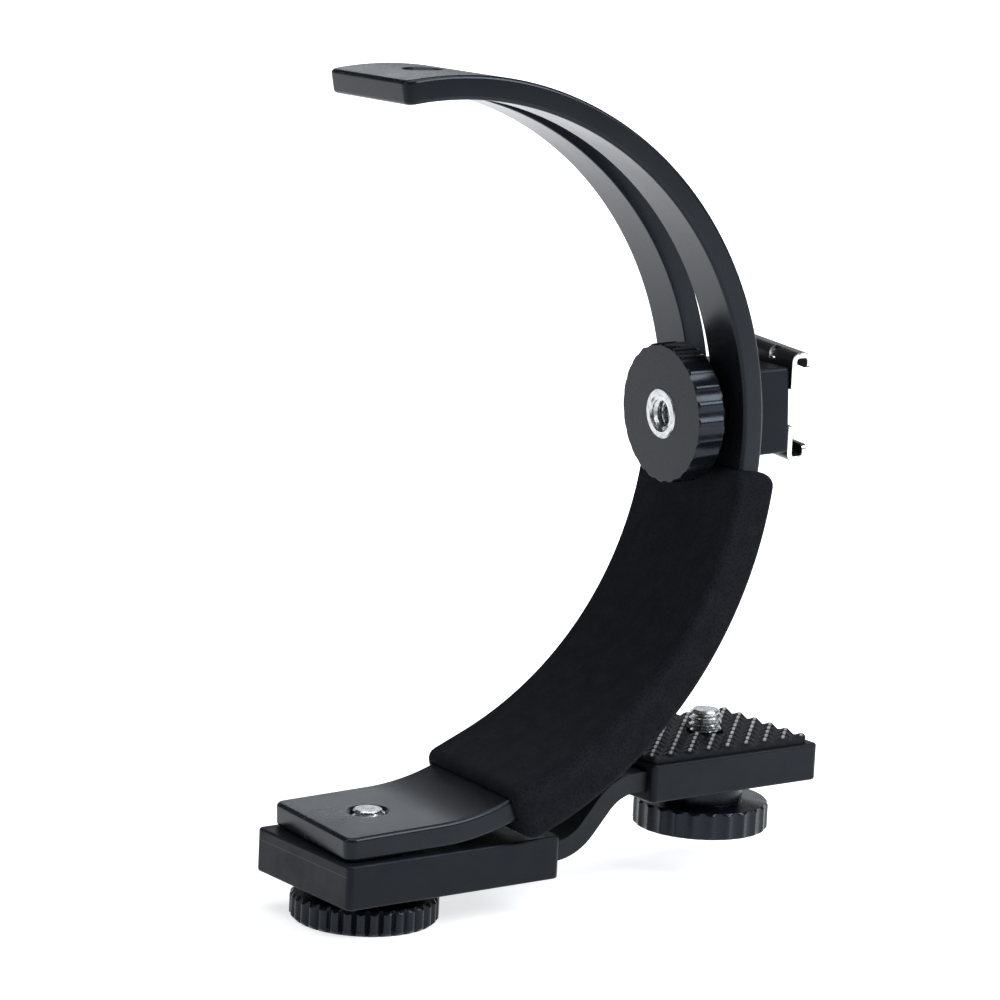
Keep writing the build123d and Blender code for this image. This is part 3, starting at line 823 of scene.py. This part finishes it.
class ArmPath:
    """The arm's middle line from the crown's end to the foot's end."""

    def __init__(self, arm):
        self.arm = arm
        self.crown = arm.crown_radius * arm.crown_angle
        self.heel = self.crown + arm.heel_radius * arm.heel_angle
        self.straight = self.heel + arm.straight
        slope = math.pi / 2 - arm.heel_angle
        self.slope = slope
        self.bend = self.straight + arm.bend_radius * (slope - arm.foot_tilt)
        self.total = self.bend + arm.foot
        self.heel_x = ARC_CENTRE.x + arm.crown_radius - arm.heel_radius

    def point(self, along, out):
        """Place in X and Z of a point at a length along the path and a height off it."""
        arm = self.arm
        if along <= self.crown:
            spin = arm.crown_angle - along / arm.crown_radius
            reach = arm.crown_radius + out
            return ARC_CENTRE.x + reach * math.cos(spin), ARC_CENTRE.z + reach * math.sin(spin)
        if along <= self.heel:
            spin = -(along - self.crown) / arm.heel_radius
            reach = arm.heel_radius + out
            return self.heel_x + reach * math.cos(spin), ARC_CENTRE.z + reach * math.sin(spin)
        x, z = self.point(self.heel, 0.0)
        way = Vector((-math.cos(self.slope), -math.sin(self.slope)))
        side = Vector((math.sin(self.slope), -math.cos(self.slope)))
        ahead = min(along, self.straight) - self.heel
        start = Vector((x, z)) + way * ahead
        if along <= self.straight:
            return tuple(start + side * out)
        centre = start - side * arm.bend_radius
        turn = min(along - self.straight, self.bend - self.straight) / arm.bend_radius
        spin = -math.pi / 2 + self.slope - turn
        reach = arm.bend_radius + out
        past = max(0.0, along - self.bend)
        x = centre.x + reach * math.cos(spin) - past * math.cos(arm.foot_tilt)
        return x, centre.y + reach * math.sin(spin) - past * math.sin(arm.foot_tilt)


def half_slot(start, end, radius):
    """Points over one half of a slot, or of a hole, in the way of the path."""
    arc = [math.pi * step / HOLE_STEPS for step in range(HOLE_STEPS + 1)]
    points = [Vector((start - radius * math.cos(turn), radius * math.sin(turn))) for turn in arc]
    if end > start:
        top = HOLE_STEPS // 2
        shift = Vector((end - start, 0))
        points = points[:top + 1] + [point + shift for point in points[top:]]
    return points


def everything(mesh):
    """All parts of a mesh, for an operator that takes them as one list."""
    return mesh.verts[:] + mesh.edges[:] + mesh.faces[:]


def bevel(mesh, edges, offset, segments):
    """Rounds edges the way the editor does."""
    bmesh.ops.bevel(
        mesh, geom=edges, offset=offset, offset_type="OFFSET", segments=segments,
        profile=0.5, affect="EDGES", material=-1, clamp_overlap=False,
    )


def flat_bar(arm, path):
    """Half of the flat bar before bending, with its slot, holes and rounded rims."""
    crown_hole = path.crown - arm.crown_radius * math.pi / 2 - arm.crown_hole
    foot_hole = path.total - arm.foot_hole
    slot_start = arm.crown_radius * (arm.crown_angle - arm.slot_high)
    slot_end = arm.crown_radius * (arm.crown_angle - arm.slot_low)
    half = arm.width / 2
    far = path.total
    corners = [(far, 0.0), (far, half, arm.corner), (0.0, half, arm.corner), (0.0, 0.0)]
    rim = rounded(corners, steps=8)
    outline = rim[-1:]
    outline += half_slot(crown_hole, crown_hole, arm.hole_radius)
    outline += half_slot(slot_start, slot_end, arm.slot_width / 2)
    outline += half_slot(foot_hole, foot_hole, arm.foot_hole_radius)
    outline += rim[:-1]
    mesh = bmesh.new()
    verts = [mesh.verts.new((p.x, p.y, -arm.thickness / 2)) for p in outline]
    face = mesh.faces.new(verts)
    grown = bmesh.ops.extrude_face_region(mesh, geom=[face])["geom"]
    top = [item for item in grown if isinstance(item, bmesh.types.BMVert)]
    bmesh.ops.translate(mesh, verts=top, vec=(0, 0, arm.thickness))
    bmesh.ops.recalc_face_normals(mesh, faces=mesh.faces)

    def rims(start, end, radius, level=None):
        """Flat edges round a slot or hole, on both faces or on the one at a level."""
        reach = radius + WELD
        chosen = []
        for edge in mesh.edges:
            ends = [vertex.co for vertex in edge.verts]
            middle = (ends[0] + ends[1]) / 2
            upright = abs(ends[0].z - ends[1].z) > WELD
            on_axis = all(abs(co.y) < WELD for co in ends)
            near = start - reach < middle.x < end + reach and abs(middle.y) <= reach
            wanted = level is None or abs(middle.z - level) < WELD
            if near and wanted and not upright and not on_axis:
                chosen.append(edge)
        return chosen

    mouths = rims(crown_hole, crown_hole, arm.hole_radius, arm.thickness / 2)
    mouths += rims(foot_hole, foot_hole, arm.foot_hole_radius, -arm.thickness / 2)
    bevel(mesh, mouths, arm.hole_chamfer, segments=1)
    bevel(mesh, rims(slot_start, slot_end, arm.slot_width / 2), arm.slot_edge, segments=2)
    outer = [
        edge for edge in rims(0.0, far, arm.width)
        if max(v.co.y for v in edge.verts) > half - arm.corner - WELD
        or max(v.co.x for v in edge.verts) < WELD
        or min(v.co.x for v in edge.verts) > far - WELD
    ]
    bevel(mesh, outer, arm.edge, segments=4)
    inner_walls = [
        face for face in mesh.faces if all(abs(v.co.y) < WELD for v in face.verts)
    ]
    bmesh.ops.delete(mesh, geom=inner_walls, context="FACES")
    return mesh


class BRACKET_OT_arm(bpy.types.Operator):
    """Bends the slotted flat bar into the curved arm"""

    bl_idname = "bracket.arm"
    bl_label = "Curved arm"

    def execute(self, context):
        arm = context.scene.bracket.arm
        path = ArmPath(arm)
        mesh = flat_bar(arm, path)
        cuts = int(path.total / arm.stride)
        for cut in range(1, cuts):
            bmesh.ops.bisect_plane(
                mesh, geom=everything(mesh), dist=WELD / 10,
                plane_co=(path.total * cut / cuts, 0, 0), plane_no=(1, 0, 0),
            )
        bmesh.ops.mirror(
            mesh, geom=everything(mesh), matrix=Matrix.Identity(4), merge_dist=WELD, axis="Y"
        )
        for vertex in mesh.verts:
            along, across, out = vertex.co
            x, z = path.point(along, out)
            vertex.co = (x, across, z)
        bmesh.ops.recalc_face_normals(mesh, faces=mesh.faces)
        piece("curved_arm", mesh, arm_paint, "arm", "c_arm")
        return {"FINISHED"}


def sleeve_ring(path, along, half_width, low, high, corner):
    """Rounded rectangle round the arm's path at one length along it."""
    quarters = ((1, 1), (-1, 1), (-1, -1), (1, -1))

    def point(part):
        quarter = int(part * 4) % 4
        turn = (part * 4 % 1.0) * math.pi / 2 + quarter * math.pi / 2
        side, level = quarters[quarter]
        across = side * (half_width - corner) + corner * math.cos(turn)
        edge = high - corner if level > 0 else low + corner
        x, z = path.point(along, edge + corner * math.sin(turn))
        return Vector((x, across, z))

    return point


class BRACKET_OT_grip(bpy.types.Operator):
    """Wraps the lower arc in its foam sleeve"""

    bl_idname = "bracket.grip"
    bl_label = "Foam grip"

    def execute(self, context):
        arm = context.scene.bracket.arm
        grip = context.scene.bracket.grip
        path = ArmPath(arm)
        start = path.crown + arm.heel_radius * grip.top
        end = path.straight + grip.run_on
        hollow = arm.thickness / 2 + grip.gap
        inner_half = arm.width / 2 + grip.gap
        steps = int((end - start) / grip.stride)
        lining = (inner_half, -hollow, hollow, grip.gap)

        def outer(along, drawn_in):
            """Outer ring of the foam, drawn in by a share of its end rounding."""
            part = min(1.0, (along - start) / (path.heel - start))
            back = grip.back_high + (grip.back_low - grip.back_high) * part**grip.growth
            shrink = grip.end_edge * drawn_in
            return sleeve_ring(
                path, along, inner_half + grip.side - shrink, -hollow - grip.palm + shrink,
                hollow + back - grip.back_end_edge * drawn_in, grip.edge,
            )

        def end_rings(mouth, way):
            """Rings from an end's mouth over its rounding."""
            rings = []
            for step in range(MOUTH_STEPS + 1):
                turn = math.pi / 2 * step / MOUTH_STEPS
                inset = grip.back_end_edge * (1 - math.cos(turn))
                rings.append(outer(mouth + way * inset, 1 - math.sin(turn)))
            return rings

        rings = [sleeve_ring(path, start, *lining)]
        rings += end_rings(start, 1)
        first, last = start + grip.back_end_edge, end - grip.back_end_edge
        for step in range(1, steps):
            rings.append(outer(first + (last - first) * step / steps, 0.0))
        rings += reversed(end_rings(end, -1))
        for step in range(steps, -1, -1):
            rings.append(sleeve_ring(path, start + (end - start) * step / steps, *lining))
        mesh = skin(rings, grip.around)
        made = piece("foam_sleeve", mesh, foam, "arm", "foam_grip")
        return {"FINISHED"}


# Knobs and screws


def limited(reach):
    """Shape function that keeps a rim inside both its outline and its flutes or teeth."""

    def shape(part, radius, height):
        return min(radius, reach(part))

    return shape


def scalloped(knobs, start, rim, hub, hub_height):
    """Scalloped knob, drawn from inside its face round its rim to its bore."""
    face, back, fillet = knobs.face_edge, knobs.back_edge, knobs.fillet
    bore = start[0][0]
    outline = rounded(start + [
        (knobs.radius - face, 0.0, face / 2),
        (knobs.radius, face, face / 2),
        (knobs.radius, rim - back, back / 2),
        (knobs.radius - back, rim, back / 3),
        (hub, rim, fillet),
        (hub, rim + hub_height, fillet),
        (bore, rim + hub_height),
        start[0],
    ])
    reach = fluted(knobs.radius, knobs.flutes, knobs.flute_radius, knobs.flute_depth)
    return turned(outline, knobs.flutes * RIM_STEPS, limited(reach))


def knob_station(node):
    """Distance of the knob's face from the arc's centre, along the shoe screw."""
    corners = [Vector(v.co) - ARC_CENTRE for v in frame["nodes"][node].data.vertices]
    return min(corner.dot(SHOE_AXIS) for corner in corners)


def bore_rings(thread, low, high, chamfer):
    """Closely spaced rings down a threaded bore to its chamfered mouth."""
    steps = int((high - low) / (thread.pitch / BORE_STEPS))
    rings = []
    for step in range(steps, -1, -1):
        height = low + (high - low) * step / steps
        rings.append((thread.radius + max(0.0, chamfer - (height - low)), height))
    return rings


def bush_outline(knobs, thread, low, high):
    """Outline of a bush whose bore is cut with a thread."""
    edge, mouth = knobs.insert_edge, thread.chamfer / 2
    outline = [(thread.radius + mouth, low), (knobs.insert - edge, low)]
    outline += [(knobs.insert, low + edge), (knobs.insert, high), (thread.radius, high)]
    return outline + bore_rings(thread, low, high, mouth)


def inner_thread(thread):
    """Shape function that cuts a thread into a bore and leaves wider rings alone."""
    limit = thread.radius + WELD

    def shape(part, radius, height):
        if radius > limit:
            return radius
        return thread.radius - thread.depth * (1.0 - thread_wave(part, height, thread.pitch))

    return shape


class BRACKET_OT_shoe_knob(bpy.types.Operator):
    """Makes the knob on the inside of the arc and its threaded bush"""

    bl_idname = "bracket.shoe_knob"
    bl_label = "Shoe knob"

    def execute(self, context):
        knobs = context.scene.bracket.knobs
        thread = context.scene.bracket.thread
        place = shoe_place() @ Matrix.Translation((0, 0, knob_station("shoe_knob")))
        mesh = scalloped(
            knobs, [(knobs.insert, 0.0)], knobs.shoe_rim, knobs.shoe_hub, knobs.shoe_hub_height
        )
        piece(
            "shoe_knob_body", mesh, knob_plastic, "shoe_knob", "shoe_knob", place
        )
        top = knobs.shoe_rim + knobs.shoe_hub_height
        outline = bush_outline(knobs, thread, -knobs.proud, top)
        mesh = turned(outline, ROUND_STEPS, inner_thread(thread))
        piece(
            "shoe_knob_bush", mesh, nickel, "shoe_knob", "shoe_knob_insert",
            place,
        )
        return {"FINISHED"}


def outer_thread(thread, low, high):
    """Shape function that cuts a thread into a shaft between two heights."""

    def shape(part, radius, height):
        if radius > thread.radius + WELD or not low <= height <= high:
            return radius
        wave = thread.depth * thread_wave(part, height, thread.pitch)
        return min(radius, thread.radius - wave)

    return shape


def shaft_outline(thread, low, high):
    """Closely spaced rings up a threaded shaft to its chamfered, flat end."""
    steps = int((high - low) / (thread.pitch / SHAFT_STEPS))
    outline = []
    for step in range(steps + 1):
        height = low + (high - low) * step / steps
        cut = max(0.0, thread.chamfer - (high - height))
        outline.append((thread.radius - cut, height))
    return outline + [(0.0, high)]


def hex_pocket(thread):
    """Radius of a round pocket that clears a bolt's hex."""
    return hexagon(thread.hex_across) + 2 * thread.seat_gap


def hex_rings(thread, low, high):
    """Rings of a hex with its corners chamfered, as pairs of limit and height."""
    wide, edge = hexagon(thread.hex_across), thread.hex_edge
    return [(wide - edge, low), (wide, low + edge), (wide, high - edge), (wide - edge, high)]


def hex_shape(thread, wrapped):
    """Shape function that makes rings wider than the thread into hexagons."""
    limit = HEX_FROM * thread.hex_across / 2

    def shape(part, radius, height):
        if radius > limit:
            return min(radius, hexagon(thread.hex_across, part))
        return wrapped(part, radius, height)

    return shape


class BRACKET_OT_camera_knob(bpy.types.Operator):
    """Makes the knob under the platform and the camera screw"""

    bl_idname = "bracket.camera_knob"
    bl_label = "Camera knob"

    def execute(self, context):
        knobs = context.scene.bracket.knobs
        thread = context.scene.bracket.thread
        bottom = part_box("camera_knob")[0].z
        pocket = hex_pocket(thread)
        seat = knobs.dish_depth + thread.hex_height
        start = [
            (thread.bore, seat),
            (pocket, seat),
            (pocket, knobs.dish_depth),
            (knobs.dish, knobs.dish_depth, knobs.fillet),
            (knobs.dish, 0.0, knobs.fillet),
        ]
        mesh = scalloped(
            knobs, start, knobs.camera_rim, knobs.camera_hub, knobs.camera_hub_height
        )
        place = camera_place() @ Matrix.Translation((0, 0, bottom))
        piece(
            "camera_knob_body", mesh, knob_plastic, "camera_knob",
            "camera_knob", place,
        )
        low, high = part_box("camera_screw")
        neck_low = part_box("camera_screw_clip")[0].z
        neck_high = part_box("platform_pad")[1].z - thread.neck_top
        outline = [(0.0, low.z)]
        outline += hex_rings(thread, low.z, low.z + thread.hex_height)
        outline += [(thread.radius, low.z + thread.hex_height), (thread.radius, neck_low)]
        outline += [(thread.neck, neck_low), (thread.neck, neck_high)]
        outline += shaft_outline(thread, neck_high, high.z)
        cut = outer_thread(thread, neck_high, high.z)
        mesh = turned(outline, ROUND_STEPS, hex_shape(thread, cut))
        piece(
            "camera_screw_body", mesh, nickel, "camera_knob", "camera_screw",
            camera_place(),
        )
        return {"FINISHED"}


class BRACKET_OT_clamp_knob(bpy.types.Operator):
    """Makes the toothed knob under the foot and its stud"""

    bl_idname = "bracket.clamp_knob"
    bl_label = "Clamp knob"

    def execute(self, context):
        knobs = context.scene.bracket.knobs
        thread = context.scene.bracket.thread
        stud_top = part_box("clamp_stud")[1].z
        hex_top = knobs.clamp_rim + knobs.hex_proud
        pocket = hex_pocket(thread)
        bore, edge, fillet = thread.bore, knobs.clamp_edge, knobs.fillet
        level = hex_top + thread.seat_gap
        outline = rounded([
            (bore, level),
            (pocket, level),
            (pocket, 0.0),
            (knobs.clamp_radius - edge, 0.0, edge / 2),
            (knobs.clamp_radius, edge, edge / 2),
            (knobs.clamp_radius, knobs.clamp_rim - edge, edge / 2),
            (knobs.clamp_radius - edge, knobs.clamp_rim, edge / 2),
            (knobs.clamp_hub, knobs.clamp_rim, fillet),
            (knobs.clamp_hub, knobs.clamp_top, fillet),
            (bore, knobs.clamp_top),
            (bore, level),
        ])
        reach = toothed(knobs.clamp_radius, knobs.teeth, knobs.tooth_radius, knobs.tooth_depth)
        mesh = turned(outline, knobs.teeth * RIM_STEPS, limited(reach))
        piece("clamp_knob_body", mesh, knob_plastic, "clamp_knob", "clamp_knob")
        outline = [(0.0, thread.socket)]
        outline += bore_rings(thread, 0.0, thread.socket, thread.socket_edge)
        outline += hex_rings(thread, 0.0, hex_top)
        outline += shaft_outline(thread, hex_top, stud_top)
        bore_cut = inner_thread(thread)
        shaft_cut = outer_thread(thread, hex_top, stud_top)

        def cut(part, radius, height):
            """Cuts the socket's thread low down and the shaft's thread above the hex."""
            if height <= thread.socket and abs(radius - thread.radius) < WELD:
                return bore_cut(part, radius, height)
            return shaft_cut(part, radius, height)

        mesh = turned(outline, ROUND_STEPS, hex_shape(thread, cut))
        piece("clamp_stud_body", mesh, nickel, "clamp_knob", "clamp_stud")
        return {"FINISHED"}


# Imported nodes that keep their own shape


# Each node with its finish and the rounding of its edges in millimetres
DRESSED = (
    ("seat_block", seat_plastic, 0.2),
    ("camera_platform", block_plastic, 0.2),
    ("shoe_block", block_plastic, 0.25),
    ("base_strip", bar_steel, 0.3),
    ("platform_pad", pad_rubber, 0.06),
    ("cold_shoe", shoe_paint, 0.1),
    ("clamp_washer", washer_plastic, 0.1),
    ("pivot_washer", washer_plastic, 0.1),
    ("camera_knob_washer", washer_plastic, 0.1),
    ("shoe_saddle_washer", washer_plastic, 0.1),
    ("camera_screw_clip", spring_steel, 0.05),
    ("shoe_screw", nickel, 0.08),
)


class BRACKET_OT_dress(bpy.types.Operator):
    """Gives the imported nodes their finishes"""

    bl_idname = "bracket.dress"
    bl_label = "Blocks, bar and washers"

    def execute(self, context):
        for node, make, edge in DRESSED:
            dress(node, make, edge * MM)
        return {"FINISHED"}


# Stage


# Point on the object that the near lights face
MIDDLE = (0.03, 0.0, 0.08)

# Area lights: setting of their power, place, point they face, width and height, in metres
LIGHTS = (
    ("backdrop", (1.2, 2.0, 0.77), (0.03, 0.0, 0.77), (6.0, 0.24)),
    ("lower_backdrop", (1.2, 2.0, 0.36), (0.03, 0.0, 0.36), (6.0, 0.56)),
    ("softbox", (0.5, -0.58, 0.68), MIDDLE, (0.6, 0.52)),
    ("side_card", (-0.8, 0.1, 0.45), MIDDLE, (0.5, 0.5)),
)
LIGHT_TINT = (0.9, 0.95, 1.0)
OVERHEAD_WIDTH = math.radians(60)
FLOOR_WHITE = (0.98, 0.99, 1.02)

# Growth of the floor's glow from left to right, far off and near: its way, start and end
FAR_FADE = ((0.9, 0.43), -0.3, 0.5)
NEAR_FADE = ((0.86, -0.5), -0.3, 0.4)

# Start and end, along the camera's view, of the change from the near glow to the far one
AHEAD = (-0.6, -0.12)

SENSOR_WIDTH = 36.0
CLIP = (0.05, 20.0)


def area_light(name, place, target, size, energy):
    """Soft square light that points at a target."""
    data = bpy.data.lights.new(name, "AREA")
    data.shape = "RECTANGLE"
    data.size, data.size_y = size
    data.energy = energy
    data.color = LIGHT_TINT
    light = bpy.data.objects.new(name, data)
    bpy.context.scene.collection.objects.link(light)
    light.location = place
    light.rotation_euler = (Vector(target) - Vector(place)).to_track_quat("-Z", "Y").to_euler()


def fade(spot, way, low, high):
    """Rises from 0 to 1 between two distances from the middle along a way on the floor."""
    return (spot[0] * way[0] + spot[1] * way[1]).step(low, high)


def glowing_floor(stage):
    """Floor that gives off light by itself, brightest behind and to the right."""
    finish = Finish(
        "floor", Roughness=0.9, Specular_IOR_Level=0.0, Emission_Strength=stage.glow
    )
    spot = finish.split(finish.place())
    far = finish.mix(fade(spot, *FAR_FADE), (stage.left_glow,) * 3, FLOOR_WHITE)
    near = finish.mix(
        fade(spot, *NEAR_FADE), (stage.corner_glow,) * 3, (stage.near_glow,) * 3
    )
    finish.feed(
        Base_Color=(*stage.floor_colour, 1.0),
        Emission_Color=finish.mix(fade(spot, stage.forward, *AHEAD), near, far),
    )
    return finish.material


def set_camera(stage):
    """Camera that matches the photograph's view."""
    data = bpy.data.cameras.new("camera")
    data.sensor_width = SENSOR_WIDTH
    data.lens = stage.lens
    data.clip_start, data.clip_end = CLIP
    camera = bpy.data.objects.new("camera", data)
    forward = Vector(stage.forward).normalized()
    right = forward.cross(Vector(stage.up).normalized()).normalized()
    turn = Matrix((right, right.cross(forward), -forward)).transposed().to_4x4()
    camera.matrix_world = Matrix.Translation(Vector(stage.eye)) @ turn
    bpy.context.scene.collection.objects.link(camera)
    bpy.context.scene.camera = camera


class BRACKET_OT_stage(bpy.types.Operator):
    """Lays the floor and sets the lights and the camera"""

    bl_idname = "bracket.stage"
    bl_label = "Stage"

    def execute(self, context):
        stage = context.scene.bracket.stage
        world = bpy.data.worlds.new("studio")
        world.use_nodes = True
        background = world.node_tree.nodes["Background"]
        background.inputs["Color"].default_value = (1.0, 1.0, 1.0, 1.0)
        background.inputs["Strength"].default_value = stage.sky
        context.scene.world = world

        mesh = bmesh.new()
        bmesh.ops.create_grid(mesh, x_segments=1, y_segments=1, size=stage.floor_size)
        data = bpy.data.meshes.new("floor")
        mesh.to_mesh(data)
        mesh.free()
        floor = bpy.data.objects.new("floor", data)
        context.scene.collection.objects.link(floor)
        data.materials.append(glowing_floor(stage))

        for name, place, target, size in LIGHTS:
            area_light(name, place, target, size, getattr(stage, name))
        sun = bpy.data.lights.new("overhead", "SUN")
        sun.energy, sun.angle = stage.overhead, OVERHEAD_WIDTH
        context.scene.collection.objects.link(bpy.data.objects.new("overhead", sun))
        context.scene.view_settings.view_transform = "Standard"
        set_camera(stage)
        return {"FINISHED"}


class BRACKET_PT_panel(bpy.types.Panel):
    """Buttons that make the bracket's pieces"""

    bl_idname = "BRACKET_PT_panel"
    bl_label = "Flash bracket"
    bl_space_type = "VIEW_3D"
    bl_region_type = "UI"
    bl_category = "Bracket"

    def draw(self, context):
        for operator in OPERATORS:
            self.layout.operator(operator.bl_idname)


OPERATORS = (
    BRACKET_OT_arm,
    BRACKET_OT_grip,
    BRACKET_OT_shoe_knob,
    BRACKET_OT_camera_knob,
    BRACKET_OT_clamp_knob,
    BRACKET_OT_dress,
    BRACKET_OT_stage,
)
GROUPS = (
    BracketArmSizes,
    BracketGripSizes,
    BracketKnobSizes,
    BracketThreadSizes,
    BracketColours,
    BracketStageSizes,
    BracketSettings,
)


def register():
    """Registers the classes and the settings."""
    for group in GROUPS + OPERATORS + (BRACKET_PT_panel,):
        bpy.utils.register_class(group)
    bpy.types.Scene.bracket = bpy.props.PointerProperty(type=BracketSettings)


def unregister():
    """Takes the settings and the classes away again."""
    del bpy.types.Scene.bracket
    for group in reversed(GROUPS + OPERATORS + (BRACKET_PT_panel,)):
        bpy.utils.unregister_class(group)


def main():
    """Makes every piece in order."""
    register()
    for operator in OPERATORS:
        group, name = operator.bl_idname.split(".")
        getattr(getattr(bpy.ops, group), name)()


if __name__ == "__main__":
    main()
